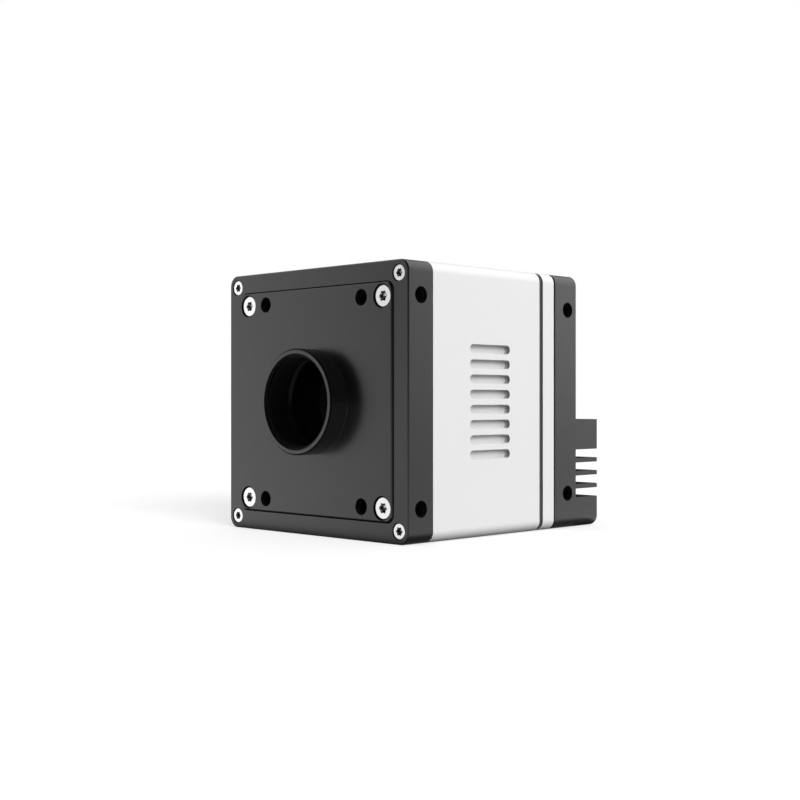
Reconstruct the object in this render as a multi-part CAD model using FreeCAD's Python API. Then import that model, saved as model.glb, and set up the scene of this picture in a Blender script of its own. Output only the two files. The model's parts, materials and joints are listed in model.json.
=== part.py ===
import FreeCAD, Part
import math
import os

# Machine vision camera with a threaded lens mount and a finned rear cover, in millimetres.
# The origin is the centre of the lens mount's front rim. The lens looks along -Y and +Z is up.

Vector = FreeCAD.Vector
AXIS = Vector(0, 1, 0)
RIGHT = Vector(1, 0, 0)
UP = Vector(0, 0, 1)

# Body
body_size = 74.0
corner_radius = 3.0
corner_screw_margin = 3.5
edge_break = 0.3
seam_break = 0.15
thread_play = 0.02
close_fit = 0.05
screw_play = 0.2
tap_spare = 0.6

# Lens mount plate and its tube
mount_reach = 6.0
plate_thickness = 6.4
plate_corner = 2.2
plate_raise = 0.5
plate_gap = 0.3
lens_thread_radius = 12.7
lens_thread_length = 8.2
lens_thread_entry = 0.4
lens_thread_flare = 0.6
tube_wall = 1.9
tube_edge_break = 0.4
relief_step = 0.3
relief_width = 0.9
seat_step = 0.45
aperture_ledge = 1.45
aperture_lip = 0.8
focal_distance = 17.526

# Filter in the bottom of the tube
filter_seal_thickness = 0.3
filter_thickness = 1.0
filter_play = 0.35
retainer_width = 1.0
retainer_rim = 1.25

# Front flange
flange_depth = 9.1
flange_rim = 5.3
spigot_depth = 4.0
spigot_clearance = 0.15
window_width = 37.0
window_height = 33.0
window_corner = 2.0

# Gasket under the lens mount plate
mount_gasket_land = 2.0
mount_gasket_width = 1.5
mount_gasket_depth = 0.8

# Main housing and its side slots
housing_length = 44.5
housing_wall = 3.0
boss_inset = 0.1
slot_count = 8
slot_length = 16.5
slot_height = 2.5
slot_pitch = 4.11
slot_depth = 1.8
slot_setback = 14.7

# Seam gasket and rear frame
seam_width = 1.4
seam_inset = 0.4
seam_ring_width = 1.2
rear_frame_depth = 5.0

# Rear cover with its heat sink
cover_depth = 10.5
cover_wall = 6.5
cover_floor_thickness = 3.5
cover_front_break = 0.7
cavity_corner = 6.0
sink_height = 10.4
sink_rise = 31.8
sink_head = 8.9
fin_gap = 2.55
fin_gap_count = 4
fin_thickness = 1.3
column_size = 24.0
column_rise = 25.0
column_corner = 2.0

# Corner screws, front and rear
small_thread_radius = 1.25
small_head_radius = 2.1
small_head_sink = 0.2
small_key_flats = 1.5
front_screw_length = 14.0
rear_screw_length = 20.0
rear_head_radius = 2.25
rear_head_height = 2.5
rear_head_sink = 0.5
rear_key_flats = 2.0

# Screws of the lens mount plate
plate_screw_margin = 3.6
plate_thread_radius = 1.5
plate_head_radius = 2.85
plate_head_sink = 0.4
plate_key_flats = 2.0
plate_screw_length = 10.0

# Depth of the keys in the screws
flat_key_depth = 0.9
cap_key_share = 0.5

# Holes for brackets and accessories
m4_radius = 2.0
m4_lead = 0.25
front_hole_gap = 7.9
flange_hole_setback = 4.7
flange_hole_margin = 9.2
flange_hole_depth = 4.2
cover_hole_setback = 4.0
cover_hole_margin = 10.2
cover_hole_depth = 5.5

# Circuit boards and the screws through the stack
board_thickness = 1.6
board_gap = 4.0
sensor_board_gap = 5.0
sensor_to_main = 12.0
stack_margin = 5.5
spacer_flats = 4.0
stack_thread_radius = 1.0
stack_play = 0.1
stack_screw_hold = 3.6
stack_head_radius = 1.9
stack_head_height = 1.3
stack_key_flats = 1.3

# Image sensor
package_width = 30.0
package_height = 26.0
package_rim_lead = 0.5
package_cavity_width = 23.0
package_cavity_height = 19.0
sensor_glass_thickness = 0.7
sensor_glass_margin = 1.5
die_width = 16.0
die_height = 13.0
die_thickness = 0.7

# Parts on the boards
processor_size = 25.0
processor_height = 1.2
processor_lid_inset = 2.0
processor_lid_height = 1.2
thermal_pad_inset = 2.0
thermal_pad_thickness = 1.0
chip_gap = 2.0
memory_width = 10.0
memory_depth = 9.0
memory_height = 1.1
memory_spread = 7.5
inductor_size = 6.0
inductor_height = 3.0
inductor_chamfer = 0.8
inductor_pitch = 9.0
inductor_gap = 3.0
link_width = 5.0
link_length = 24.0
link_margin = 9.5
notch_clearance = 1.5

# Network jack
jack_width = 16.0
jack_height = 13.5
jack_length = 21.3
jack_proud = 0.3
jack_sheet = 0.3
jack_cutout_gap = 0.2
jack_lip = 0.4
jack_screw_gap = 0.6
jack_column_gap = 7.25
lock_hole_reach = 11.0
lock_hole_radius = 1.0
lock_hole_depth = 2.8
plug_width = 11.8
plug_height = 7.0
plug_depth = 13.0
plug_drop = 1.1
latch_width = 6.0
latch_height = 1.6
latch_slot_width = 3.4
latch_slot_height = 1.4
contact_count = 8
contact_pitch = 1.02
contact_width = 0.4
contact_thickness = 0.25
contact_run = 8.0
contact_fall = 2.2

# Power and signal connector
power_thread_radius = 6.0
power_shell_wall = 1.0
power_flange_rim = 2.0
power_flange_thickness = 1.6
power_reach = 7.5
power_cup_depth = 8.0
power_tail = 12.0
power_nut_rim = 1.5
power_nut_height = 2.4
pin_count = 7
pin_ring_radius = 2.75
pin_radius = 0.4
pin_reach = 3.4

# Status light
light_drop = 15.0
light_radius = 1.45
light_proud = 0.2
led_size = 1.6
led_height = 0.9

# Stations along the lens axis, from the rim to the back
plate_front = mount_reach
plate_back = plate_front + plate_thickness
seat_depth = plate_back - aperture_lip
flange_front = plate_front + plate_raise
groove_floor = plate_back + mount_gasket_depth
housing_front = flange_front + flange_depth
spigot_back = housing_front + spigot_depth
housing_back = housing_front + housing_length
seam_back = housing_back + seam_width
rear_frame_back = seam_back + rear_frame_depth
cover_back = rear_frame_back + cover_depth
cover_floor = cover_back - cover_floor_thickness
sink_back = cover_back + sink_height
sensor_board_back = spigot_back + board_thickness
main_board_front = sensor_board_back + sensor_to_main
main_board_back = main_board_front + board_thickness
jack_mouth = cover_back + jack_proud
jack_foot = jack_mouth - jack_length
interface_board_front = jack_foot - board_thickness
sensor_link_middle = (sensor_board_back + main_board_front) / 2
main_link_middle = (main_board_back + interface_board_front) / 2
processor_back = main_board_back + processor_height + processor_lid_height
pad_back = processor_back + thermal_pad_thickness
power_tip = cover_back + power_reach
power_cup_floor = power_tip - power_cup_depth

# Where the screws start and end along the lens axis
front_screw_top = flange_front + small_head_sink
front_screw_tip = front_screw_top + front_screw_length
plate_screw_top = plate_front + plate_head_sink
plate_screw_tip = plate_screw_top + plate_screw_length
rear_screw_seat = cover_back - rear_head_sink - rear_head_height
rear_screw_tip = rear_screw_seat - rear_screw_length
stack_screw_tip = spigot_back - stack_screw_hold

# Sizes across the lens axis
body_half = body_size / 2
housing_inner = body_size - 2 * housing_wall
pocket_size = body_size - 2 * flange_rim
plate_size = pocket_size - 2 * plate_gap
board_size = housing_inner - 2 * board_gap
sensor_board_size = housing_inner - 2 * sensor_board_gap
tube_radius = lens_thread_radius + tube_wall
seat_radius = lens_thread_radius - seat_step
aperture_radius = seat_radius - aperture_ledge
filter_radius = seat_radius - filter_play
boss_radius = corner_radius - boss_inset
power_bore_radius = power_thread_radius - power_shell_wall

# Places across the lens axis
corner_screw_spread = body_half - corner_screw_margin
plate_screw_spread = plate_size / 2 - plate_screw_margin
front_hole_spread = plate_screw_spread - front_hole_gap
stack_spread = board_size / 2 - stack_margin
link_x = board_size / 2 - link_margin
sink_top = sink_rise - body_half
column_z = column_rise - body_half
column_top = column_z + column_size / 2
memory_z = column_z + processor_size / 2 + chip_gap + memory_depth / 2
inductor_z = memory_z + memory_depth / 2 + inductor_gap + inductor_size / 2
socket_spread = stack_spread - stack_head_radius - jack_screw_gap - jack_width / 2
jack_x = -socket_spread
power_x = socket_spread
jack_z = column_top + jack_column_gap + jack_height / 2
power_z = jack_z
light_z = body_half - light_drop


def runs_along_axis(edge):
    """True for a straight edge parallel to the lens axis."""
    first, last = edge.Vertexes[0], edge.Vertexes[-1]
    return math.isclose(first.X, last.X) and math.isclose(first.Z, last.Z)


def bar(width, height, front, back, radius=0.0, x=0.0, z=0.0):
    """Bar along the lens axis, with rounded long edges."""
    corner = Vector(x - width / 2, front, z - height / 2)
    shape = Part.makeBox(width, back - front, height, corner)
    if radius:
        shape = shape.makeFillet(radius, [e for e in shape.Edges if runs_along_axis(e)])
    return shape


def rod(radius, front, back, x=0.0, z=0.0):
    """Round bar along the lens axis."""
    return Part.makeCylinder(radius, back - front, Vector(x, front, z), AXIS)


def hex_bar(flats, front, back, x=0.0, z=0.0):
    """Hexagonal bar along the lens axis."""
    reach = flats / math.sqrt(3)
    points = [Vector(px, front, pz) for px, pz in ring_places(6, reach, x, z)]
    return Part.Face(Part.makePolygon(points + points[:1])).extrude(AXIS * (back - front))


def turned(profile, x=0.0, z=0.0):
    """Turned solid from points of radius and place along the lens axis."""
    points = [Vector(x + radius, along, z) for radius, along in profile]
    face = Part.Face(Part.makePolygon(points + points[:1]))
    return face.revolve(Vector(x, 0, z), AXIS, 360)


def break_rim(shape, station, size):
    """Chamfer round the end of a plain bar."""
    rim = [e for e in shape.Edges if all(math.isclose(v.Y, station) for v in e.Vertexes)]
    return shape.makeChamfer(size, rim)


def at_corners(make, spread_x, spread_z):
    """Four like solids at the corners of a rectangle."""
    places = [(sx * spread_x, sz * spread_z) for sx in (-1, 1) for sz in (-1, 1)]
    return [make(x, z) for x, z in places]


def rods_at_corners(radius, front, back, spread):
    """Four round bars at the corners of a square."""
    return at_corners(lambda x, z: rod(radius, front, back, x, z), spread, spread)


def carve(shape, tools):
    """Shape less its cuts, with faces in one plane joined."""
    return shape.cut(tools).removeSplitter()


def ring_places(count, radius, x, z):
    """Evenly spaced places on a circle round (x, z)."""
    turns = [2 * math.pi * step / count for step in range(count)]
    return [(x + radius * math.cos(t), z + radius * math.sin(t)) for t in turns]


def flat_head_screw(head_radius, thread_radius, top, tip, flats, x, z):
    """Countersunk screw, its head towards the front, with a hexagonal socket."""
    body = turned([
        (0, top),
        (head_radius, top),
        (thread_radius, top + head_radius - thread_radius),
        (thread_radius, tip),
        (0, tip),
    ], x, z)
    return body.cut(hex_bar(flats, top, top + flat_key_depth, x, z))


def flat_head_hole(head_radius, sink, hole_radius, front, back, x, z):
    """Countersunk clearance hole that lets the screw's head sink below the surface."""
    mouth_radius = head_radius + sink
    return turned([
        (0, front),
        (mouth_radius, front),
        (hole_radius, front + mouth_radius - hole_radius),
        (hole_radius, back),
        (0, back),
    ], x, z)


def cap_screw(head_radius, head_height, thread_radius, seat, tip, flats, x, z):
    """Cylinder-head screw driven from the back, with a hexagonal socket."""
    top = seat + head_height
    body = rod(head_radius, seat, top, x, z).fuse(rod(thread_radius, tip, seat, x, z))
    return body.cut(hex_bar(flats, top - head_height * cap_key_share, top, x, z))


def mouthed_hole(mouth, inward, depth):
    """Cut for an M4 tapped hole with a chamfered mouth."""
    bore = Part.makeCylinder(m4_radius, depth, mouth, inward)
    lead = Part.makeCone(m4_radius + m4_lead, m4_radius, m4_lead, mouth, inward)
    return bore.fuse(lead)


def side_holes(outward, across, station, margin, depth):
    """Two M4 holes in one side of the body, each at a margin from its corner."""
    middle = outward * body_half + AXIS * station
    spread = body_half - margin
    return [mouthed_hole(middle + across * (s * spread), outward * -1, depth) for s in (-1, 1)]


def lens_mount_plate():
    """Square plate and threaded tube, in one piece."""
    plate = break_rim(bar(plate_size, plate_size, plate_front, plate_back, plate_corner),
                      plate_front, edge_break)
    tube = turned([
        (0, 0),
        (tube_radius - tube_edge_break, 0),
        (tube_radius, tube_edge_break),
        (tube_radius, plate_back),
        (0, plate_back),
    ])
    relief_radius = lens_thread_radius + relief_step
    relief_end = lens_thread_length + relief_width
    bore = turned([
        (0, 0),
        (lens_thread_radius + lens_thread_flare, 0),
        (lens_thread_radius, lens_thread_entry),
        (lens_thread_radius, lens_thread_length),
        (relief_radius, lens_thread_length),
        (relief_radius, relief_end),
        (seat_radius, relief_end),
        (seat_radius, seat_depth),
        (aperture_radius, seat_depth),
        (aperture_radius, plate_back),
        (0, plate_back),
    ])
    screw_holes = at_corners(
        lambda x, z: flat_head_hole(plate_head_radius, plate_head_sink,
                                    plate_thread_radius + screw_play,
                                    plate_front, plate_back, x, z),
        plate_screw_spread, plate_screw_spread)
    bracket_holes = at_corners(
        lambda x, z: mouthed_hole(Vector(x, plate_front, z), AXIS, plate_thickness),
        front_hole_spread, plate_screw_spread)
    return carve(plate.fuse(tube), [bore] + screw_holes + bracket_holes)


def mount_gasket_ring(reach):
    """Rectangular ring round the window, the gasket's shape or its groove's."""
    width = window_width + 2 * mount_gasket_land
    height = window_height + 2 * mount_gasket_land
    inner = bar(width - 2 * reach, height - 2 * reach, plate_back, groove_floor, window_corner)
    grow = 2 * (mount_gasket_width + reach)
    outer = bar(width + grow, height + grow, plate_back, groove_floor,
                window_corner + mount_gasket_width)
    return outer.cut(inner)


def mount_plate_screws():
    """Four M3 flat-head screws that hold the lens mount plate."""
    return Part.makeCompound(at_corners(
        lambda x, z: flat_head_screw(plate_head_radius, plate_thread_radius, plate_screw_top,
                                     plate_screw_tip, plate_key_flats, x, z),
        plate_screw_spread, plate_screw_spread))


def front_flange_screws():
    """Four M2.5 flat-head screws through the flange into the housing."""
    return Part.makeCompound(at_corners(
        lambda x, z: flat_head_screw(small_head_radius, small_thread_radius, front_screw_top,
                                     front_screw_tip, small_key_flats, x, z),
        corner_screw_spread, corner_screw_spread))


def filter_seal():
    """Flat ring that the filter rests on."""
    front = seat_depth - filter_seal_thickness
    ring = rod(filter_radius, front, seat_depth)
    return ring.cut(rod(aperture_radius, front, seat_depth))


def filter_glass():
    """Round infrared filter."""
    back = seat_depth - filter_seal_thickness
    return rod(filter_radius, back - filter_thickness, back)


def filter_retainer():
    """Threaded ring that clamps the filter, with two key slots."""
    back = seat_depth - filter_seal_thickness - filter_thickness
    front = back - retainer_width
    ring = rod(seat_radius - close_fit, front, back)
    hole = rod(seat_radius - retainer_rim, front, back)
    slots = bar(2 * seat_radius, retainer_width, front, front + retainer_width / 2)
    return carve(ring, [hole, slots])


def front_flange():
    """Front frame with the pocket for the lens mount plate and a spigot into the housing."""
    frame = bar(body_size, body_size, flange_front, housing_front, corner_radius)
    frame = break_rim(frame, flange_front, edge_break)
    frame = break_rim(frame, housing_front, seam_break)
    spigot_size = housing_inner - 2 * spigot_clearance
    spigot = bar(spigot_size, spigot_size, housing_front, spigot_back)
    spigot = spigot.cut(rods_at_corners(boss_radius + spigot_clearance, housing_front,
                                        spigot_back, corner_screw_spread))
    pocket = bar(pocket_size, pocket_size, flange_front, plate_back, plate_corner + plate_gap)
    window = bar(window_width, window_height, plate_back, spigot_back, window_corner)
    corner_holes = at_corners(
        lambda x, z: flat_head_hole(small_head_radius, small_head_sink,
                                    small_thread_radius + screw_play,
                                    flange_front, housing_front, x, z),
        corner_screw_spread, corner_screw_spread)
    plate_taps = rods_at_corners(plate_thread_radius + thread_play, plate_back,
                                 plate_screw_tip + tap_spare, plate_screw_spread)
    stack_taps = rods_at_corners(stack_thread_radius + thread_play,
                                 stack_screw_tip - tap_spare, spigot_back, stack_spread)
    station = flange_front + flange_hole_setback
    brackets = []
    for outward, across in ((RIGHT, UP), (RIGHT * -1, UP), (UP, RIGHT), (UP * -1, RIGHT)):
        brackets += side_holes(outward, across, station, flange_hole_margin, flange_hole_depth)
    cuts = [pocket, window, mount_gasket_ring(close_fit)]
    cuts += corner_holes + plate_taps + stack_taps + brackets
    return carve(frame.fuse(spigot), cuts)


def square_tube(front, back):
    """Square tube with rounded outer corners and round screw bosses in its inner corners."""
    shell = bar(body_size, body_size, front, back, corner_radius)
    hollow = bar(housing_inner, housing_inner, front, back)
    bosses = rods_at_corners(boss_radius, front, back, corner_screw_spread)
    return shell, shell.cut(hollow).fuse(bosses)


def slot_pocket(side, z):
    """Round-ended pocket in a side wall of the housing."""
    start = housing_front + slot_setback
    end_radius = slot_height / 2
    low_x = min(side * (body_half - slot_depth), side * body_half)
    middle = Part.makeBox(slot_depth, slot_length - slot_height, slot_height,
                          Vector(low_x, start + end_radius, z - end_radius))
    ends = [Part.makeCylinder(end_radius, slot_depth, Vector(low_x, y, z), RIGHT)
            for y in (start + end_radius, start + slot_length - end_radius)]
    return middle.fuse(ends)


def main_housing():
    """Square tube with tapped corner bosses and a row of slots in each side."""
    shell, tube = square_tube(housing_front, housing_back)
    outside = break_rim(shell, housing_front, seam_break)
    outside = break_rim(outside, housing_back, seam_break)
    tap_radius = small_thread_radius + thread_play
    taps = rods_at_corners(tap_radius, housing_front, front_screw_tip + tap_spare,
                           corner_screw_spread)
    taps += rods_at_corners(tap_radius, rear_screw_tip - tap_spare, housing_back,
                            corner_screw_spread)
    first = -slot_pitch * (slot_count - 1) / 2
    heights = [first + slot_pitch * step for step in range(slot_count)]
    slots = [slot_pocket(side, z) for side in (-1, 1) for z in heights]
    return carve(tube.common(outside), taps + slots)


def seam_gasket():
    """Square ring set back between the housing and the rear frame, outside the screws."""
    size = body_size - 2 * seam_inset
    inner_size = size - 2 * seam_ring_width
    radius = corner_radius - seam_inset
    ring = bar(size, size, housing_back, seam_back, radius)
    return ring.cut(bar(inner_size, inner_size, housing_back, seam_back,
                        radius - seam_ring_width))


def rear_frame():
    """Short square tube with clearance holes for the rear screws."""
    tube = square_tube(seam_back, rear_frame_back)[1]
    return carve(tube, rods_at_corners(small_thread_radius + screw_play, seam_back,
                                       rear_frame_back, corner_screw_spread))


def rear_cover():
    """Cover with cooling fins behind and a column that takes heat from the processor."""
    body = break_rim(bar(body_size, body_size, rear_frame_back, cover_back, corner_radius),
                     rear_frame_back, cover_front_break)
    sink = bar(body_size, body_size, cover_back, sink_back, corner_radius)
    above = body_half - sink_top
    sink = sink.cut(bar(body_size, above, cover_back, sink_back, 0, 0, sink_top + above / 2))
    cavity_size = body_size - 2 * cover_wall
    cavity = bar(cavity_size, cavity_size, rear_frame_back, cover_floor, cavity_corner)
    column = bar(column_size, column_size, pad_back, cover_floor, column_corner, 0, column_z)
    solid = body.fuse(sink).cut(cavity).fuse(column)
    gap_pitch = fin_gap + fin_thickness
    first_gap = sink_top - sink_head - fin_gap / 2
    gaps = [bar(body_size, fin_gap, cover_back, sink_back, 0, 0, first_gap - gap_pitch * step)
            for step in range(fin_gap_count)]
    screw_ways = rods_at_corners(small_thread_radius + screw_play, rear_frame_back,
                                 rear_screw_seat, corner_screw_spread)
    counterbores = rods_at_corners(rear_head_radius + screw_play, rear_screw_seat, sink_back,
                                   corner_screw_spread)
    jack_way = bar(jack_width + 2 * jack_cutout_gap, jack_height + 2 * jack_cutout_gap,
                   cover_floor, cover_back, 0, jack_x, jack_z)
    lock_holes = [rod(lock_hole_radius, cover_back - lock_hole_depth, cover_back,
                      jack_x + side * lock_hole_reach, jack_z) for side in (-1, 1)]
    power_way = rod(power_thread_radius + close_fit, cover_floor, cover_back, power_x, power_z)
    light_way = rod(light_radius + close_fit, cover_floor, cover_back, 0, light_z)
    station = cover_back - cover_hole_setback
    brackets = []
    for outward in (RIGHT, RIGHT * -1):
        brackets += side_holes(outward, UP, station, cover_hole_margin, cover_hole_depth)
    cuts = gaps + screw_ways + counterbores + lock_holes + brackets
    return carve(solid, cuts + [jack_way, power_way, light_way])


def rear_cover_screws():
    """Four M2.5 socket-head screws, through the cover and rear frame into the housing."""
    return Part.makeCompound(at_corners(
        lambda x, z: cap_screw(rear_head_radius, rear_head_height, small_thread_radius,
                               rear_screw_seat, rear_screw_tip, rear_key_flats, x, z),
        corner_screw_spread, corner_screw_spread))


def sensor_package():
    """Ceramic tray for the die."""
    rim = focal_distance - package_rim_lead
    tray = bar(package_width, package_height, rim, spigot_back)
    cavity = bar(package_cavity_width, package_cavity_height, rim,
                 focal_distance + die_thickness)
    return carve(tray, [cavity])


def sensor_glass():
    """Cover glass on the rim of the sensor's tray."""
    back = focal_distance - package_rim_lead
    return bar(package_width - 2 * sensor_glass_margin, package_height - 2 * sensor_glass_margin,
               back - sensor_glass_thickness, back)


def sensor_die():
    """Silicon die, its front at the focal distance from the lens mount's rim."""
    return bar(die_width, die_height, focal_distance, focal_distance + die_thickness)


def board(size, front):
    """Square circuit board with a hole near each corner for the stack's screws."""
    back = front + board_thickness
    holes = rods_at_corners(stack_thread_radius + stack_play, front, back, stack_spread)
    return carve(bar(size, size, front, back), holes)


def interface_board():
    """Board behind the sockets, notched round the cover's heat column."""
    notch_width = column_size + 2 * notch_clearance
    notch_top = column_top + notch_clearance
    notch_height = notch_top + board_size / 2
    notch = bar(notch_width, notch_height, interface_board_front, jack_foot, 0,
                0, notch_top - notch_height / 2)
    return carve(board(board_size, interface_board_front), [notch])


def spacers(front, back):
    """Four hollow hexagonal spacers between two boards."""
    bore = stack_thread_radius + stack_play
    return Part.makeCompound(at_corners(
        lambda x, z: hex_bar(spacer_flats, front, back, x, z).cut(rod(bore, front, back, x, z)),
        stack_spread, stack_spread))


def interface_board_screws():
    """Four long M2 screws that clamp the three boards and their spacers to the flange."""
    return Part.makeCompound(at_corners(
        lambda x, z: cap_screw(stack_head_radius, stack_head_height, stack_thread_radius,
                               jack_foot, stack_screw_tip, stack_key_flats, x, z),
        stack_spread, stack_spread))


def processor():
    """Processor package with its metal lid."""
    step = main_board_back + processor_height
    lid_size = processor_size - 2 * processor_lid_inset
    base = bar(processor_size, processor_size, main_board_back, step, 0, 0, column_z)
    return base.fuse(bar(lid_size, lid_size, step, processor_back, 0, 0, column_z))


def thermal_pad():
    """Soft pad between the processor's lid and the heat column."""
    size = column_size - 2 * thermal_pad_inset
    return bar(size, size, processor_back, pad_back, 0, 0, column_z)


def memory_chips():
    """Two memory chips above the processor."""
    back = main_board_back + memory_height
    return Part.makeCompound([
        bar(memory_width, memory_depth, main_board_back, back, 0, side * memory_spread, memory_z)
        for side in (-1, 1)])


def inductors():
    """Row of three power inductors on the main board."""
    back = main_board_back + inductor_height
    return Part.makeCompound([
        break_rim(bar(inductor_size, inductor_size, main_board_back, back, 0,
                      step * inductor_pitch, inductor_z), back, inductor_chamfer)
        for step in (-1, 0, 1)])


def link_half(front, back, x):
    """One half of a connector between two boards."""
    return bar(link_width, link_length, front, back, 0, x, 0)


def plug_space():
    """Space for the plug, with the two steps for its latch below."""
    front = jack_mouth - plug_depth
    centre = jack_z + plug_drop
    low = centre - plug_height / 2
    main = bar(plug_width, plug_height, front, jack_mouth, 0, jack_x, centre)
    latch = bar(latch_width, latch_height, front, jack_mouth, 0, jack_x, low - latch_height / 2)
    slot = bar(latch_slot_width, latch_slot_height, front, jack_mouth, 0, jack_x,
               low - latch_height - latch_slot_height / 2)
    return main.fuse([latch, slot])


def jack_inside(back):
    """Space inside the network jack's metal shell."""
    return bar(jack_width - 2 * jack_sheet, jack_height - 2 * jack_sheet,
               jack_foot + jack_sheet, back, 0, jack_x, jack_z)


def jack_shield():
    """Folded metal shell of the network jack."""
    can = bar(jack_width, jack_height, jack_foot, jack_mouth, 0, jack_x, jack_z)
    return carve(can, [jack_inside(jack_mouth)])


def jack_insert():
    """Moulded insert of the network jack, open to the plug."""
    return carve(jack_inside(jack_mouth - jack_lip), [plug_space()])


def jack_contacts():
    """Bent spring contacts on the roof of the plug's space."""
    root_y = jack_mouth - plug_depth
    roof_z = jack_z + plug_drop + plug_height / 2
    start_x = jack_x - contact_pitch * (contact_count - 1) / 2 - contact_width / 2
    contacts = []
    for step in range(contact_count):
        x = start_x + contact_pitch * step
        outline = [
            Vector(x, root_y, roof_z - contact_fall),
            Vector(x, root_y, roof_z - contact_fall + contact_thickness),
            Vector(x, root_y + contact_run, roof_z),
            Vector(x, root_y + contact_run + contact_thickness, roof_z),
            Vector(x, root_y + contact_thickness, roof_z - contact_fall),
        ]
        face = Part.Face(Part.makePolygon(outline + outline[:1]))
        contacts.append(face.extrude(RIGHT * contact_width))
    return Part.makeCompound(contacts)


def power_shell():
    """Threaded round shell of the power and signal connector."""
    flange_back = cover_back + power_flange_thickness
    flange_radius = power_thread_radius + power_flange_rim
    front = power_cup_floor - power_tail
    return turned([
        (power_bore_radius, power_tip),
        (power_thread_radius - edge_break, power_tip),
        (power_thread_radius, power_tip - edge_break),
        (power_thread_radius, flange_back),
        (flange_radius, flange_back),
        (flange_radius, cover_back),
        (power_thread_radius, cover_back),
        (power_thread_radius, front),
        (power_bore_radius, front),
    ], power_x, power_z)


def power_nut():
    """Hexagonal nut that holds the connector from inside the cover."""
    front = cover_floor - power_nut_height
    flats = 2 * (power_thread_radius + power_nut_rim)
    nut = hex_bar(flats, front, cover_floor, power_x, power_z)
    return nut.cut(rod(power_thread_radius + thread_play, front, cover_floor, power_x, power_z))


def power_insulator():
    """Round insulator, from the interface board to the floor of the connector's cup."""
    return rod(power_bore_radius - close_fit, jack_foot, power_cup_floor, power_x, power_z)


def power_pins():
    """Contact pins in the connector's cup, a ring and one in the middle."""
    places = ring_places(pin_count, pin_ring_radius, power_x, power_z) + [(power_x, power_z)]
    back = power_cup_floor + pin_reach
    return Part.makeCompound([rod(pin_radius, power_cup_floor, back, x, z) for x, z in places])


def status_led():
    """Light source on the interface board."""
    return bar(led_size, led_size, jack_foot, jack_foot + led_height, 0, 0, light_z)


def status_light_pipe():
    """Clear rod that brings the status light through the cover."""
    return rod(light_radius, jack_foot + led_height, cover_back + light_proud, 0, light_z)


parts = {
    "lens_mount_plate": lens_mount_plate(),
    "mount_gasket": mount_gasket_ring(0),
    "mount_plate_screws": mount_plate_screws(),
    "filter_retainer": filter_retainer(),
    "filter_glass": filter_glass(),
    "filter_seal": filter_seal(),
    "front_flange": front_flange(),
    "front_flange_screws": front_flange_screws(),
    "main_housing": main_housing(),
    "seam_gasket": seam_gasket(),
    "rear_frame": rear_frame(),
    "rear_cover": rear_cover(),
    "rear_cover_screws": rear_cover_screws(),
    "sensor_glass": sensor_glass(),
    "sensor_die": sensor_die(),
    "sensor_package": sensor_package(),
    "sensor_board": board(sensor_board_size, spigot_back),
    "sensor_standoffs": spacers(sensor_board_back, main_board_front),
    "sensor_link_plug": link_half(sensor_board_back, sensor_link_middle, -link_x),
    "sensor_link_socket": link_half(sensor_link_middle, main_board_front, -link_x),
    "main_board": board(board_size, main_board_front),
    "processor": processor(),
    "thermal_pad": thermal_pad(),
    "memory_chips": memory_chips(),
    "inductors": inductors(),
    "main_standoffs": spacers(main_board_back, interface_board_front),
    "main_link_plug": link_half(main_board_back, main_link_middle, link_x),
    "main_link_socket": link_half(main_link_middle, interface_board_front, link_x),
    "interface_board": interface_board(),
    "interface_board_screws": interface_board_screws(),
    "jack_shield": jack_shield(),
    "jack_insert": jack_insert(),
    "jack_contacts": jack_contacts(),
    "power_shell": power_shell(),
    "power_nut": power_nut(),
    "power_insulator": power_insulator(),
    "power_pins": power_pins(),
    "status_led": status_led(),
    "status_light_pipe": status_light_pipe(),
}

os.makedirs("parts", exist_ok=True)
for name, shape in parts.items():
    shape.exportStep(os.path.join("parts", name + ".step"))
    print(name, len(shape.Solids), "solids", round(shape.Volume, 2), "mm3", shape.isValid())
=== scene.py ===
import json
import math

import bmesh
import bpy
from mathutils import Matrix, Vector


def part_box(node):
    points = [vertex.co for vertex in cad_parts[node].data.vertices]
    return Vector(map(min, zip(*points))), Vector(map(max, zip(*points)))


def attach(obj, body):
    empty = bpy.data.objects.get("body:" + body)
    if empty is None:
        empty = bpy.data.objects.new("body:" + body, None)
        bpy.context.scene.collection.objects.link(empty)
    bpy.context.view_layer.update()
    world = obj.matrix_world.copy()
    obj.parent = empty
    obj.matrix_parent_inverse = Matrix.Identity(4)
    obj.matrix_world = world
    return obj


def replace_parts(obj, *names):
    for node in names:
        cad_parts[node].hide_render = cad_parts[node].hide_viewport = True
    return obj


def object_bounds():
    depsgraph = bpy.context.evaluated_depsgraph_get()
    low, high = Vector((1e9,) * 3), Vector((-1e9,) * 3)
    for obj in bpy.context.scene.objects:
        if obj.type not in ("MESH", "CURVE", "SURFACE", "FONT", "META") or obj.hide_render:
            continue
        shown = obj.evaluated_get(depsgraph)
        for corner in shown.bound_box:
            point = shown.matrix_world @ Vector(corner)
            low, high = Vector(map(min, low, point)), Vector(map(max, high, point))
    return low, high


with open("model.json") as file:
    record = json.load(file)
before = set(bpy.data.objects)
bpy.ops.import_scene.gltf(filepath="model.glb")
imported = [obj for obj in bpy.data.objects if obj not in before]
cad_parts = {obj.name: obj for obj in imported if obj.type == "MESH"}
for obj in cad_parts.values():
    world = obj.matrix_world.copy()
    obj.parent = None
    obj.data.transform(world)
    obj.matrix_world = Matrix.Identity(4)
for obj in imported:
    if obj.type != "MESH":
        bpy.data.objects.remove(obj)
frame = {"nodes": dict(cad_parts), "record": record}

# Looks of the machine vision camera. Lengths are in millimetres, and shapes are scaled to the
# frame's metres, apart from values that say metres. A ramp is a range and what it turns into.

MM = 0.001
cad_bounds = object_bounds()
nodes = frame["nodes"]
scene = bpy.context.scene

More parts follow.
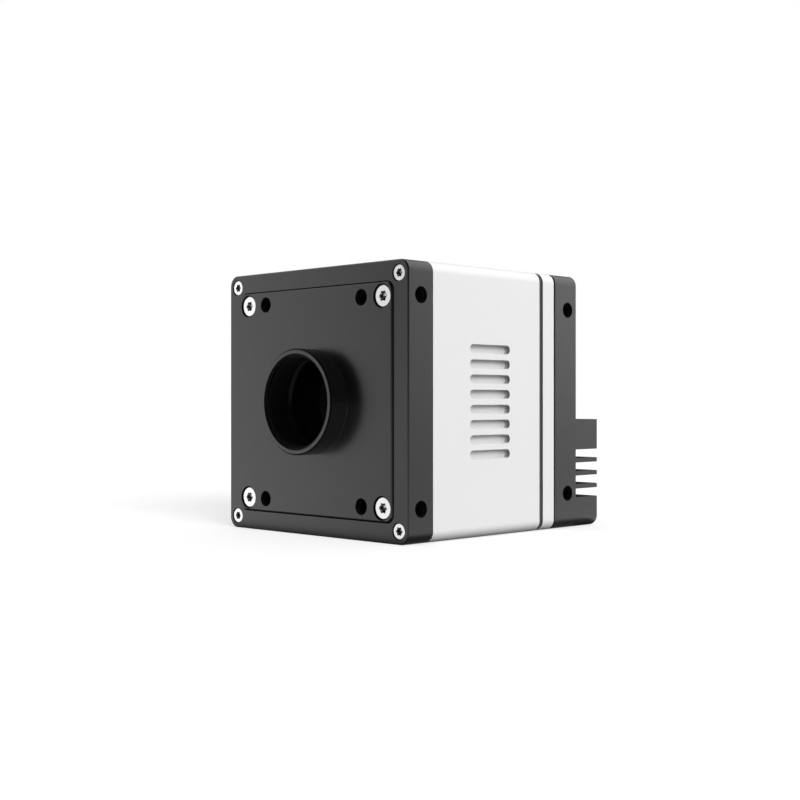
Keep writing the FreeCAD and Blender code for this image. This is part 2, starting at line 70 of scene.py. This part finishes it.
# Place of the camera and the floor, which is in metres
CAMERA_PLACE = Vector((270.14, -230.85, 0.53)) * MM
CAMERA_TURN = (math.radians(90.0), 0.0, math.radians(44.856))
CAMERA_LENS = 58.372
CAMERA_SHIFT = -0.00006
FLOOR_SIZE = 6.0
FLOOR_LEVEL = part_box("main_housing")[0].z

# Lamps: the way to each, its strength, and the spread of both in degrees
SIDE_LAMP, SIDE_STRENGTH = (1.0, -0.3, 0.58), 2.6
BACK_LAMP, BACK_STRENGTH = (-1.0, 0.8, 0.1), 1.1
LAMP_SPREAD = 35.0

# Studio that glossy surfaces mirror, as ramps over the part of the way that runs towards the
# photograph's camera, beside it and up
DAYLIGHT = 0.55
STUDIO = 1.25
STUDIO_EDGE = (0.2, -0.15)
STUDIO_BESIDE = (0.0, 0.7)
STUDIO_RISE = (-0.3, 0.12, 0.66, 1.6)
STUDIO_HIGH = (0.15, 0.7, 1.0, 0.75)
STUDIO_BEHIND = (-0.6, -0.9, 1.0, 0.1)

# Floor: its colour to the camera and to other rays, its glow to the camera, and the painted glow
# that glossy surfaces mirror, which holds a painted shadow under the body and falls off to the
# front and the right, by metres
FLOOR_COLOUR, FLOOR_BOUNCE, FLOOR_GLOW = 0.5, 0.1, 0.55
PAINTED_FLOOR_SHADOW = 0.15
PAINTED_SHADOW_EDGE = (0.01, 0.002)
FLOOR_FRONT = (0.03, -0.05, 0.75, 1.0)
FLOOR_RIGHT = (0.05, 0.3, 1.0, 0.65)

# Screws
ROUND_STEPS, CAP_STEPS = 96, 288
LOBE_DEPTH = 0.1
LARGE_HEAD, LARGE_SINK, LARGE_THREAD, LARGE_RECESS = 2.85, 0.4, 1.5, 1.45
SMALL_HEAD, SMALL_SINK, SMALL_THREAD, SMALL_RECESS = 2.1, 0.2, 1.25, 1.15
RECESS_DEPTH, RECESS_TIP, RECESS_LIP = 1.1, 0.3, 0.06
RECESS_POINT, RECESS_TAPER = 0.25, 0.94
HEAD_BREAK = ((0.14, 0.0), (0.08, 0.02), (0.06, 0.06))
SCREW_POINT = 0.3
FLAT_HEAD_SHARP = 15.0
CAP_HEAD, CAP_HEIGHT, CAP_SOCKET = 2.25, 2.5, 1.155
CAP_POINT, CAP_TIP = 0.3, 0.3
CAP_LIP, CAP_LIP_DEPTH = 0.1, 0.12
CAP_BREAK = ((0.25, 0.0), (0.06, 0.1))
CAP_BASE_BREAK = 0.06
KNURL_START, KNURL_END = 0.3, 0.15
KNURL_DEPTH, KNURL_RIDGES = 0.012, 32

# Threads
LENS_THREAD_RADIUS, LENS_PITCH, LENS_RIDGE = 12.7, 25.4 / 32, 0.42
LENS_FLARE, LENS_ENTRY = 0.6, 0.4
TUBE_RADIUS, TUBE_BREAK = 14.6, 0.4
M4_RADIUS, M4_PITCH, M4_RIDGE, M4_LEAD = 2.0, 0.7, 0.33, 0.25
M4_DEPTHS = {"front": 6.4, "flange": 4.2, "cover": 5.5}
M12_RADIUS, M12_PITCH, M12_RIDGE = 6.0, 1.0, 0.5
M12_START, M12_BED, M12_LEAD = 0.2, 0.01, 0.3
THREAD_START = 0.5
LINING = 0.02

# Thread's section as shares of the pitch. At both ends it fades down to the least share of its
# height, over a turn divided by the fade. Each kind has its own number of steps in a turn
THREAD_FOOT, THREAD_CREST = 0.47, 0.07
THREAD_FADE, THREAD_LEAST = 3, 0.05
LENS_STEPS, M4_STEPS, M12_STEPS = 120, 32, 72

# Power connector
SHELL_WALL, SHELL_BREAK = 1.0, 0.15
PANEL = 3.5
RIM_THICKNESS, RIM_BREAK, RIM_GAP = 1.6, 0.2, 0.1

# Materials, with lengths in metres: the grain and how many times broader its clouds are, softened
# edges, the reach and strength of the painted shade in a screw's recess, where the fins start along
# Y, how far the slots' floors and mouths lie from the middle along X, and the painted shade on the
# slots' ends and floors
FINE_GRAIN, BROAD_GRAIN = 0.00012, 60.0
SOFT_EDGE, PALE_EDGE = 0.00012, 0.00008
HOLLOW_SHADE_SIZE = 0.001
HOLLOW_SHADE = (0.7, 0.97, 0.06, 1.0)
FINS_START = 0.0771
FINS_LEVEL = (0.5, 0.8, 0.0, 1.0)
SLOT_FLOOR, SLOT_MOUTH = 0.0353, 0.037
SLOT_END, SLOT_END_SHADE = (0.3, 0.7, 0.0, 1.0), (0.5, 0.06)
SLOT_FLOOR_SHADE = (0.5, 0.8, 1.0, 0.77)
ROUGH_SPREAD = (0.3, 0.7)


class Nodes:
    """Short way to add and join the nodes of one material or world."""

    def __init__(self, tree):
        self.tree = tree
        tree.nodes.clear()

    def add(self, kind, **settings):
        node = self.tree.nodes.new(kind)
        for name, value in settings.items():
            setattr(node, name, value)
        return node

    def put(self, node, **values):
        for name, value in values.items():
            socket = node.inputs[name.replace("_", " ")]
            if isinstance(value, bpy.types.NodeSocket):
                self.tree.links.new(value, socket)
            else:
                socket.default_value = value
        return node

    def link(self, output, socket):
        self.tree.links.new(output, socket)

    def ramp(self, value, low, high, to_low, to_high, smooth=False):
        """Value from low to high, mapped to the other range."""
        node = self.add("ShaderNodeMapRange")
        node.interpolation_type = "SMOOTHSTEP" if smooth else "LINEAR"
        self.put(node, Value=value, From_Min=low, From_Max=high, To_Min=to_low, To_Max=to_high)
        return node.outputs["Result"]

    def math(self, operation, first, second=0.0):
        node = self.add("ShaderNodeMath", operation=operation)
        for socket, value in zip(node.inputs, (first, second)):
            if isinstance(value, bpy.types.NodeSocket):
                self.link(value, socket)
            else:
                socket.default_value = value
        return node.outputs[0]

    def split(self, vector):
        """Outputs X, Y and Z of a vector."""
        node = self.add("ShaderNodeSeparateXYZ")
        self.link(vector, node.inputs[0])
        return node.outputs

    def noise(self, place, scale, detail=2.0, roughness=0.5):
        node = self.add("ShaderNodeTexNoise")
        self.put(node, Vector=place, Scale=scale, Detail=detail, Roughness=roughness)
        return node.outputs["Fac"]

    def tint(self, factor, first, second):
        """Colour between first and second."""
        node = self.add("ShaderNodeMix", data_type="RGBA")
        self.link(factor, node.inputs[0])
        for socket, value in zip(node.inputs[6:8], (first, second)):
            if isinstance(value, bpy.types.NodeSocket):
                self.link(value, socket)
            else:
                socket.default_value = (*value, 1.0)
        return node.outputs[2]

    def choose(self, factor, first, second):
        """Number between first and second."""
        node = self.add("ShaderNodeMix", data_type="FLOAT")
        self.link(factor, node.inputs[0])
        for socket, value in zip(node.inputs[2:4], (first, second)):
            if isinstance(value, bpy.types.NodeSocket):
                self.link(value, socket)
            else:
                socket.default_value = value
        return node.outputs[0]


class Shape:
    """Mesh gathered ring by ring, in millimetres."""

    def __init__(self):
        self.points = []
        self.faces = []

    def ring(self, place, points):
        start = len(self.points)
        self.points += [(place @ Vector(p)) * MM for p in points]
        return list(range(start, len(self.points)))

    def band(self, first, second):
        """Quads between two rings with as many points."""
        for step in range(len(first)):
            after = (step + 1) % len(first)
            self.faces.append((first[step], first[after], second[after], second[step]))

    def skin(self, rings, closed=False):
        """Bands through the rings, with both ends closed by a face or joined to each other."""
        for first, second in zip(rings, rings[1:]):
            self.band(first, second)
        if closed:
            self.band(rings[-1], rings[0])
        else:
            self.faces += [tuple(reversed(rings[0])), tuple(rings[-1])]

    def make(self, name, material, sharp=30.0):
        """Object on the camera's body, shaded smooth between edges sharper than the angle."""
        mesh = bpy.data.meshes.new(name)
        mesh.from_pydata(self.points, [], self.faces)
        grid = bmesh.new()
        grid.from_mesh(mesh)
        bmesh.ops.recalc_face_normals(grid, faces=grid.faces)
        grid.to_mesh(mesh)
        grid.free()
        mesh.shade_smooth()
        mesh.set_sharp_from_angle(angle=math.radians(sharp))
        mesh.materials.append(material)
        piece = bpy.data.objects.new(name, mesh)
        scene.collection.objects.link(piece)
        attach(piece, "root")
        return piece


def at(point, inward):
    """Place whose origin is the point and whose Z axis runs inward."""
    turn = Vector(inward).to_track_quat("Z", "Y").to_matrix().to_4x4()
    return Matrix.Translation(Vector(point)) @ turn


def plain(angle):
    return 1.0


def lobed(angle):
    """Six rounded lobes, as in the recess of a star-drive screw."""
    return 1.0 - LOBE_DEPTH * (1.0 - math.cos(6 * angle))


def hexed(angle):
    """Hexagon with its corners at 1."""
    sixth = math.pi / 3
    return math.cos(sixth / 2) / math.cos(angle % sixth - sixth / 2)


def knurled(angle):
    return 1.0 - KNURL_DEPTH * (1.0 + math.cos(KNURL_RIDGES * angle))


def stacked(shape, place, rows, steps=ROUND_STEPS, closed=False):
    """Turned form from rows of radius, depth and outline."""
    rings = []
    for radius, depth, outline in rows:
        points = []
        for step in range(steps):
            angle = 2 * math.pi * step / steps
            reach = radius * outline(angle)
            points.append((reach * math.cos(angle), reach * math.sin(angle), depth))
        rings.append(shape.ring(place, points))
    shape.skin(rings, closed)


def thread(shape, place, root, ridge, pitch, start, end, steps):
    """Wound ridge between two depths, outwards or (below zero) inwards from the root radius."""
    count = int((end - start - pitch) / pitch * steps)
    half = THREAD_FOOT * pitch
    crest = THREAD_CREST * pitch
    fade_steps = steps / THREAD_FADE
    rings = []
    for step in range(count + 1):
        angle = 2 * math.pi * step / steps
        middle = start + pitch / 2 + pitch * step / steps
        fade = max(THREAD_LEAST, min(1.0, step / fade_steps, (count - step) / fade_steps))
        tip = root + ridge * fade
        section = [(root, -half), (tip, -crest), (tip, crest), (root, half)]
        rings.append(shape.ring(place, [
            (radius * math.cos(angle), radius * math.sin(angle), middle + along)
            for radius, along in section]))
    shape.skin(rings)


def corners(node, margin):
    """Middles of the four like solids of a node, each reaching margin round its middle."""
    low, high = (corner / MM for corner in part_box(node))
    return [Vector((x, low.y, z)) for x in (low.x + margin, high.x - margin)
            for z in (low.z + margin, high.z - margin)]


def length_of(node):
    low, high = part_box(node)
    return (high.y - low.y) / MM


def flat_head_screws(name, node, head, thread_radius, recess, material):
    """Four countersunk screws with a star recess."""
    shape = Shape()
    length = length_of(node)
    under = head - thread_radius
    for top in corners(node, head):
        stacked(shape, at(top, (0, 1, 0)), [
            (RECESS_POINT * recess, RECESS_DEPTH + RECESS_TIP, plain),
            (RECESS_TAPER * recess, RECESS_DEPTH, lobed),
            (recess, RECESS_LIP, lobed),
            (recess + RECESS_LIP, 0.0, lobed),
            *((head - inset, depth, plain) for inset, depth in HEAD_BREAK),
            (thread_radius, under, plain),
            (thread_radius, length - SCREW_POINT, plain),
            (thread_radius - SCREW_POINT, length, plain),
        ])
    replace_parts(shape.make(name, material, sharp=FLAT_HEAD_SHARP), node)


def socket_head_screws(name, node, material):
    """Four cylinder-head screws with a hexagonal socket, driven from behind."""
    shape = Shape()
    length = length_of(node)
    for near in corners(node, CAP_HEAD):
        top = near + Vector((0, length, 0))
        stacked(shape, at(top, (0, -1, 0)), [
            (CAP_POINT * CAP_SOCKET, CAP_HEIGHT / 2 + CAP_TIP, plain),
            (CAP_SOCKET, CAP_HEIGHT / 2, hexed),
            (CAP_SOCKET, CAP_LIP_DEPTH, hexed),
            (CAP_SOCKET + CAP_LIP, 0.0, plain),
            *((CAP_HEAD - inset, depth, plain) for inset, depth in CAP_BREAK),
            (CAP_HEAD, KNURL_START, knurled),
            (CAP_HEAD, CAP_HEIGHT - KNURL_END, knurled),
            (CAP_HEAD - CAP_BASE_BREAK, CAP_HEIGHT, plain),
            (SMALL_THREAD, CAP_HEIGHT, plain),
            (SMALL_THREAD, length, plain),
        ], steps=CAP_STEPS)
    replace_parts(shape.make(name, material), node)


def lens_mouth():
    """Place of the lens thread's mouth, with Z inward."""
    return at((0, 0, 0), (0, 1, 0))


def lens_thread(material):
    """Thread cut in the tube, from its mouth to the filter's retaining ring."""
    shape = Shape()
    mount = next(m for m in frame["record"]["mounts"] if m["name"] == "lens_thread")
    end = mount["pos_m"][1] / MM + mount["dims"]["length_mm"]
    thread(shape, lens_mouth(), LENS_THREAD_RADIUS + LINING, -LENS_RIDGE, LENS_PITCH,
           THREAD_START, end, LENS_STEPS)
    shape.make("lens_thread", material)


def bracket_holes():
    """Place and depth of each M4 hole in the plate, the flange and the cover, with Z inward."""
    for mount in frame["record"]["mounts"]:
        if mount["kind"] != "bolt_pattern":
            continue
        dims, outward = mount["dims"], Vector(mount["axis"])
        middle = Vector(mount["pos_m"]) / MM
        wide, high = dims.get("spacing_x_mm", 0.0) / 2, dims.get("spacing_y_mm", 0.0) / 2
        offsets = {(a * wide, b * high) for a in (-1, 1) for b in (-1, 1)}
        for x, z in sorted(offsets):
            place = at(middle + Vector((x, 0, z)), -outward)
            yield place, M4_DEPTHS[mount["name"].split("_")[0]]


def bracket_threads(material):
    """Threads of the M4 holes."""
    shape = Shape()
    for place, depth in bracket_holes():
        thread(shape, place, M4_RADIUS + LINING, -M4_RIDGE, M4_PITCH, THREAD_START, depth,
               M4_STEPS)
    shape.make("bracket_threads", material)


def shade_cone(shape, place, first, last, depth, over=-LINING):
    """Thin cone over a chamfer, from the first radius to the last, in a hole, to paint shade on it.

    With over above zero it lies round a tube instead.
    """
    stacked(shape, place, [
        (first + over, 0.0, plain),
        (last + over, depth, plain),
        (last - over, depth + LINING, plain),
        (first - over, 2 * LINING, plain),
    ], closed=True)


def shade_linings(material):
    """Dark rough linings over the chamfers of the tube, the M4 holes and the countersinks, as
    painted shade.
    """
    shape = Shape()
    shade_cone(shape, lens_mouth(), LENS_THREAD_RADIUS + LENS_FLARE, LENS_THREAD_RADIUS, LENS_ENTRY)
    shade_cone(shape, lens_mouth(), TUBE_RADIUS - TUBE_BREAK, TUBE_RADIUS, TUBE_BREAK, over=LINING)
    for place, _ in bracket_holes():
        shade_cone(shape, place, M4_RADIUS + M4_LEAD, M4_RADIUS, M4_LEAD)
    for node, head, sink in (("mount_plate_screws", LARGE_HEAD, LARGE_SINK),
                             ("front_flange_screws", SMALL_HEAD, SMALL_SINK)):
        for top in corners(node, head):
            shade_cone(shape, at(top - Vector((0, sink, 0)), (0, 1, 0)), head + sink, head, sink)
    shape.make("hole_mouths_painted_shade", material)


def power_connector(material):
    """Round connector's shell with its outer thread, flange and hollow tail."""
    low, high = (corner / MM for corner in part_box("power_shell"))
    rim = (high.x - low.x) / 2
    middle = (low + high) / 2
    cover_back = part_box("power_nut")[1].y / MM + PANEL
    bore = M12_RADIUS - SHELL_WALL
    root = M12_RADIUS - M12_RIDGE
    length = high.y - low.y
    seat = high.y - cover_back
    rim_front = seat - RIM_THICKNESS
    shape = Shape()
    place = at((middle.x, high.y, middle.z), (0, -1, 0))
    stacked(shape, place, [
        (bore, SHELL_BREAK, plain),
        (bore + SHELL_BREAK, 0.0, plain),
        (root - M12_LEAD, 0.0, plain),
        (root, M12_LEAD, plain),
        (root, rim_front, plain),
        (rim - RIM_BREAK, rim_front, plain),
        (rim, rim_front + RIM_BREAK, plain),
        (rim, seat, plain),
        (M12_RADIUS, seat, plain),
        (M12_RADIUS, length, plain),
        (bore, length, plain),
    ], closed=True)
    thread(shape, place, root - M12_BED, M12_RIDGE, M12_PITCH, M12_START, rim_front - RIM_GAP,
           M12_STEPS)
    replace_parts(shape.make("power_connector_shell", material), "power_shell")


def surface(name, low, high, grain, rough, bump, edge=0.0, hollow_shade=0.0, shaded_slot_floor=0.0, fins=0.0,
            **constants):
    """Material with a fine grain: colour from low to high, roughness range, bump height.

    It paints shade into hollows of the given size. It also paints shade at the ends of the slots,
    which look along the lens axis, the more so the nearer to their mouths, and on their floors,
    which lie nearer the middle than the given slot floor. Behind the start of the fins, level faces
    are rough.
    """
    material = bpy.data.materials.new(name)
    material.use_nodes = True
    n = Nodes(material.node_tree)
    place = n.add("ShaderNodeTexCoord").outputs["Object"]
    fine = n.noise(place, 1.0 / grain, 2.0)
    broad = n.noise(place, 1.0 / (grain * BROAD_GRAIN), 3.0)
    shader = n.add("ShaderNodeBsdfPrincipled")
    height = n.add("ShaderNodeBump")
    n.put(height, Height=fine, Strength=1.0, Distance=bump)
    if edge:
        soft = n.add("ShaderNodeBevel", samples=6)
        soft.inputs["Radius"].default_value = edge
        n.link(soft.outputs["Normal"], height.inputs["Normal"])
    colour = n.tint(n.choose(broad, fine, broad), low, high)
    # Painted shade: the colour darkens towards black where ambient occlusion finds a hollow, as in
    # a screw's recess
    if hollow_shade:
        cover = n.add("ShaderNodeAmbientOcclusion", samples=8, only_local=True)
        cover.inputs["Distance"].default_value = hollow_shade
        colour = n.tint(n.ramp(cover.outputs["AO"], *HOLLOW_SHADE), grey(0.0), colour)
    turned = n.split(n.add("ShaderNodeTexCoord").outputs["Normal"])
    # Painted shade on the slots: their ends darken, the more towards their mouths, and their floors
    # darken too
    if shaded_slot_floor:
        aside = n.math("ABSOLUTE", n.split(place)["X"])
        end_shade = n.ramp(aside, shaded_slot_floor, SLOT_MOUTH, *SLOT_END_SHADE)
        end_shade = n.choose(n.ramp(n.math("ABSOLUTE", turned["Y"]), *SLOT_END), 1.0, end_shade)
        floor_shade = n.ramp(n.math("ABSOLUTE", turned["X"]), *SLOT_FLOOR_SHADE)
        inside = n.math("LESS_THAN", aside, shaded_slot_floor)
        shade = n.math("MULTIPLY", end_shade, n.choose(inside, 1.0, floor_shade))
        colour = n.tint(shade, grey(0.0), colour)
    n.link(colour, shader.inputs["Base Color"])
    roughness = n.ramp(broad, *ROUGH_SPREAD, *rough)
    if fins:
        level = n.ramp(n.math("ABSOLUTE", turned["Z"]), *FINS_LEVEL)
        behind = n.math("GREATER_THAN", n.split(place)["Y"], fins)
        roughness = n.choose(n.math("MULTIPLY", level, behind), roughness, 1.0)
    n.link(roughness, shader.inputs["Roughness"])
    n.link(height.outputs["Normal"], shader.inputs["Normal"])
    for socket, value in constants.items():
        shader.inputs[socket.replace("_", " ")].default_value = value
    output = n.add("ShaderNodeOutputMaterial")
    n.link(shader.outputs["BSDF"], output.inputs["Surface"])
    return material


def grey(value):
    return (value, value, value)


def dress(material, *names):
    for name in names:
        piece = nodes[name]
        piece.data.materials.clear()
        piece.data.materials.append(material)


def light_the_scene():
    """White to the camera, and a soft studio that is dark behind the camera."""
    world = bpy.data.worlds.new("studio")
    world.use_nodes = True
    scene.world = world
    n = Nodes(world.node_tree)
    way = n.add("ShaderNodeTexCoord").outputs["Generated"]
    x, y, z = n.split(way)
    towards = n.math("DIVIDE", n.math("SUBTRACT", x, y), math.sqrt(2.0))
    beside = n.math("DIVIDE", n.math("ADD", x, y), math.sqrt(2.0))
    rise = n.choose(n.ramp(beside, *STUDIO_BESIDE, 0.0, 1.0), 1.0, n.ramp(z, *STUDIO_RISE))
    studio = n.ramp(towards, *STUDIO_EDGE, 0.0, STUDIO, smooth=True)
    for share in (rise, n.ramp(z, *STUDIO_HIGH), n.ramp(towards, *STUDIO_BEHIND)):
        studio = n.math("MULTIPLY", studio, share)
    ways = n.add("ShaderNodeLightPath")
    strength = n.choose(ways.outputs["Is Diffuse Ray"], 1.0, DAYLIGHT)
    strength = n.choose(ways.outputs["Is Glossy Ray"], strength, studio)
    background = n.add("ShaderNodeBackground")
    background.inputs["Color"].default_value = (1.0, 1.0, 1.0, 1.0)
    n.link(strength, background.inputs["Strength"])
    output = n.add("ShaderNodeOutputWorld")
    n.link(background.outputs["Background"], output.inputs["Surface"])


def hang_a_lamp(name, towards, strength):
    """Broad soft lamp from one side, which glossy surfaces don't mirror."""
    lamp = bpy.data.lights.new(name, "SUN")
    lamp.energy = strength
    lamp.angle = math.radians(LAMP_SPREAD)
    rig = bpy.data.objects.new(name, lamp)
    rig.rotation_euler = Vector(towards).to_track_quat("Z", "Y").to_euler()
    rig.visible_glossy = False
    scene.collection.objects.link(rig)


def lay_the_floor():
    """Pale floor that turns to white for the camera and keeps the shadow. Glossy rays see a painted
    glow instead, with a painted shadow under the body.
    """
    bpy.ops.mesh.primitive_plane_add(size=FLOOR_SIZE, location=(0, 0, FLOOR_LEVEL))
    floor = bpy.context.object
    floor.name = "floor"
    material = bpy.data.materials.new("floor")
    material.use_nodes = True
    n = Nodes(material.node_tree)
    ways = n.add("ShaderNodeLightPath")
    place = n.add("ShaderNodeNewGeometry").outputs["Position"]
    low, high = cad_bounds
    middle, half = (high + low) / 2, (high - low) / 2
    x, y, z = n.split(place)
    # Painted glow for glossy rays, with a painted shadow round the body's footprint, dimmer to the
    # front and the right
    beside = [n.ramp(n.math("ABSOLUTE", n.math("SUBTRACT", along, middle[axis])), half[axis],
                     half[axis] + PAINTED_SHADOW_EDGE[axis], PAINTED_FLOOR_SHADOW, STUDIO, smooth=True)
              for axis, along in enumerate((x, y))]
    painted_floor_glow = n.math("MAXIMUM", *beside)
    painted_floor_glow = n.math("MULTIPLY", painted_floor_glow, n.ramp(n.math("SUBTRACT", x, y), *FLOOR_FRONT))
    painted_floor_glow = n.math("MULTIPLY", painted_floor_glow, n.ramp(n.math("ADD", x, y), *FLOOR_RIGHT))
    matt = n.add("ShaderNodeBsdfDiffuse")
    seen = ways.outputs["Is Camera Ray"]
    n.link(n.tint(seen, grey(FLOOR_BOUNCE), grey(FLOOR_COLOUR)), matt.inputs["Color"])
    glow = n.add("ShaderNodeEmission")
    glow.inputs["Color"].default_value = (1.0, 1.0, 1.0, 1.0)
    n.link(n.math("MULTIPLY", seen, FLOOR_GLOW), glow.inputs["Strength"])
    both = n.add("ShaderNodeAddShader")
    n.link(matt.outputs[0], both.inputs[0])
    n.link(glow.outputs[0], both.inputs[1])
    painted_reflection = n.add("ShaderNodeEmission")
    n.link(painted_floor_glow, painted_reflection.inputs["Strength"])
    choice = n.add("ShaderNodeMixShader")
    n.link(ways.outputs["Is Glossy Ray"], choice.inputs[0])
    n.link(both.outputs[0], choice.inputs[1])
    n.link(painted_reflection.outputs[0], choice.inputs[2])
    output = n.add("ShaderNodeOutputMaterial")
    n.link(choice.outputs[0], output.inputs["Surface"])
    floor.data.materials.append(material)


def set_the_camera():
    camera = bpy.data.cameras.new("camera")
    camera.lens = CAMERA_LENS
    camera.sensor_width = 36.0
    camera.shift_y = CAMERA_SHIFT
    camera.clip_start = 0.01
    camera.clip_end = 20.0
    rig = bpy.data.objects.new("camera", camera)
    rig.location = CAMERA_PLACE
    rig.rotation_euler = CAMERA_TURN
    scene.collection.objects.link(rig)
    scene.camera = rig


scene.view_settings.view_transform = "Standard"
light_the_scene()
hang_a_lamp("side_lamp", SIDE_LAMP, SIDE_STRENGTH)
hang_a_lamp("back_lamp", BACK_LAMP, BACK_STRENGTH)
lay_the_floor()
set_the_camera()

black = surface("black_anodised", grey(0.003), grey(0.004), FINE_GRAIN, (0.29, 0.31), 0.000001,
                edge=SOFT_EDGE, fins=FINS_START, IOR=1.66)
# Black of the threads, the filter's retaining ring and the chamfer linings, darker and less
# reflective than the anodised black: painted shade inside the bores and the tube
bore_shade_black = surface("black_threads_painted_shade", grey(0.0015), grey(0.002), FINE_GRAIN, (0.5, 0.6), 0.000001,
                   IOR=1.15)
pale = surface("pale_anodised", grey(0.8), grey(0.84), FINE_GRAIN, (0.42, 0.45), 0.000002,
               edge=PALE_EDGE, shaded_slot_floor=SLOT_FLOOR, Metallic=0.1)
steel = surface("screw_steel", grey(0.95), grey(0.98), 0.00008, (0.2, 0.24), 0.000001,
                hollow_shade=HOLLOW_SHADE_SIZE, Metallic=0.9)
rubber = surface("dark_rubber", grey(0.06), grey(0.075), 0.00015, (0.5, 0.6), 0.000003)
glass = surface("filter_glass", (0.004, 0.0045, 0.005), (0.005, 0.0055, 0.006), 0.002,
                (0.02, 0.04), 0.0, Transmission_Weight=0.5, IOR=1.05)
board = surface("circuit_board", (0.004, 0.05, 0.02), (0.01, 0.09, 0.035), 0.0004, (0.3, 0.4),
                0.000004)
plastic = surface("chip_plastic", grey(0.014), grey(0.022), 0.0001, (0.5, 0.6), 0.000002)
moulding = surface("connector_plastic", grey(0.012), grey(0.018), 0.00015, (0.35, 0.45), 0.000002)
brass = surface("brass", (0.7, 0.52, 0.22), (0.78, 0.6, 0.3), 0.0001, (0.25, 0.35), 0.000001,
                Metallic=1.0)
gold = surface("gold_contacts", (0.88, 0.66, 0.28), (0.95, 0.75, 0.36), 0.0001, (0.2, 0.28),
               0.0000005, Metallic=1.0)
nickel = surface("nickel_sheet", (0.66, 0.65, 0.62), (0.74, 0.73, 0.7), 0.0001, (0.28, 0.36),
                 0.000001, Metallic=1.0)
pad = surface("thermal_pad", (0.4, 0.45, 0.5), (0.5, 0.55, 0.6), 0.0003, (0.7, 0.8), 0.00001)
ceramic = surface("ceramic", (0.1, 0.085, 0.085), (0.14, 0.12, 0.12), 0.0001, (0.5, 0.6), 0.000002)
silicon = surface("silicon", (0.1, 0.09, 0.13), (0.14, 0.12, 0.16), 0.0005, (0.1, 0.14), 0.0)
clear = surface("clear_glass", (0.9, 0.92, 0.95), (0.92, 0.94, 0.97), 0.002, (0.02, 0.03), 0.0,
                Transmission_Weight=1.0)
light = surface("light_plastic", (0.75, 0.8, 0.78), (0.8, 0.84, 0.82), 0.0003, (0.2, 0.3), 0.000001,
                Transmission_Weight=0.6)

dress(black, "front_flange", "lens_mount_plate", "rear_cover")
dress(bore_shade_black, "filter_retainer")
dress(pale, "main_housing", "rear_frame")
dress(steel, "front_flange_screws", "mount_plate_screws", "rear_cover_screws",
      "interface_board_screws")
dress(rubber, "seam_gasket", "mount_gasket", "filter_seal")
dress(glass, "filter_glass")
dress(board, "sensor_board", "main_board", "interface_board")
dress(plastic, "memory_chips", "inductors")
dress(moulding, "sensor_link_plug", "sensor_link_socket", "main_link_plug", "main_link_socket",
      "jack_insert", "power_insulator")
dress(brass, "sensor_standoffs", "main_standoffs")
dress(gold, "jack_contacts", "power_pins")
dress(nickel, "processor", "jack_shield", "power_nut", "power_shell")
dress(pad, "thermal_pad")
dress(ceramic, "sensor_package")
dress(silicon, "sensor_die")
dress(clear, "sensor_glass")
dress(light, "status_led", "status_light_pipe")

flat_head_screws("plate_screws", "mount_plate_screws", LARGE_HEAD, LARGE_THREAD, LARGE_RECESS,
                 steel)
flat_head_screws("flange_screws", "front_flange_screws", SMALL_HEAD, SMALL_THREAD, SMALL_RECESS,
                 steel)
socket_head_screws("cover_screws", "rear_cover_screws", steel)
lens_thread(bore_shade_black)
bracket_threads(bore_shade_black)
# Dark linings over the chamfers and countersinks, as painted shade
shade_linings(bore_shade_black)
power_connector(nickel)
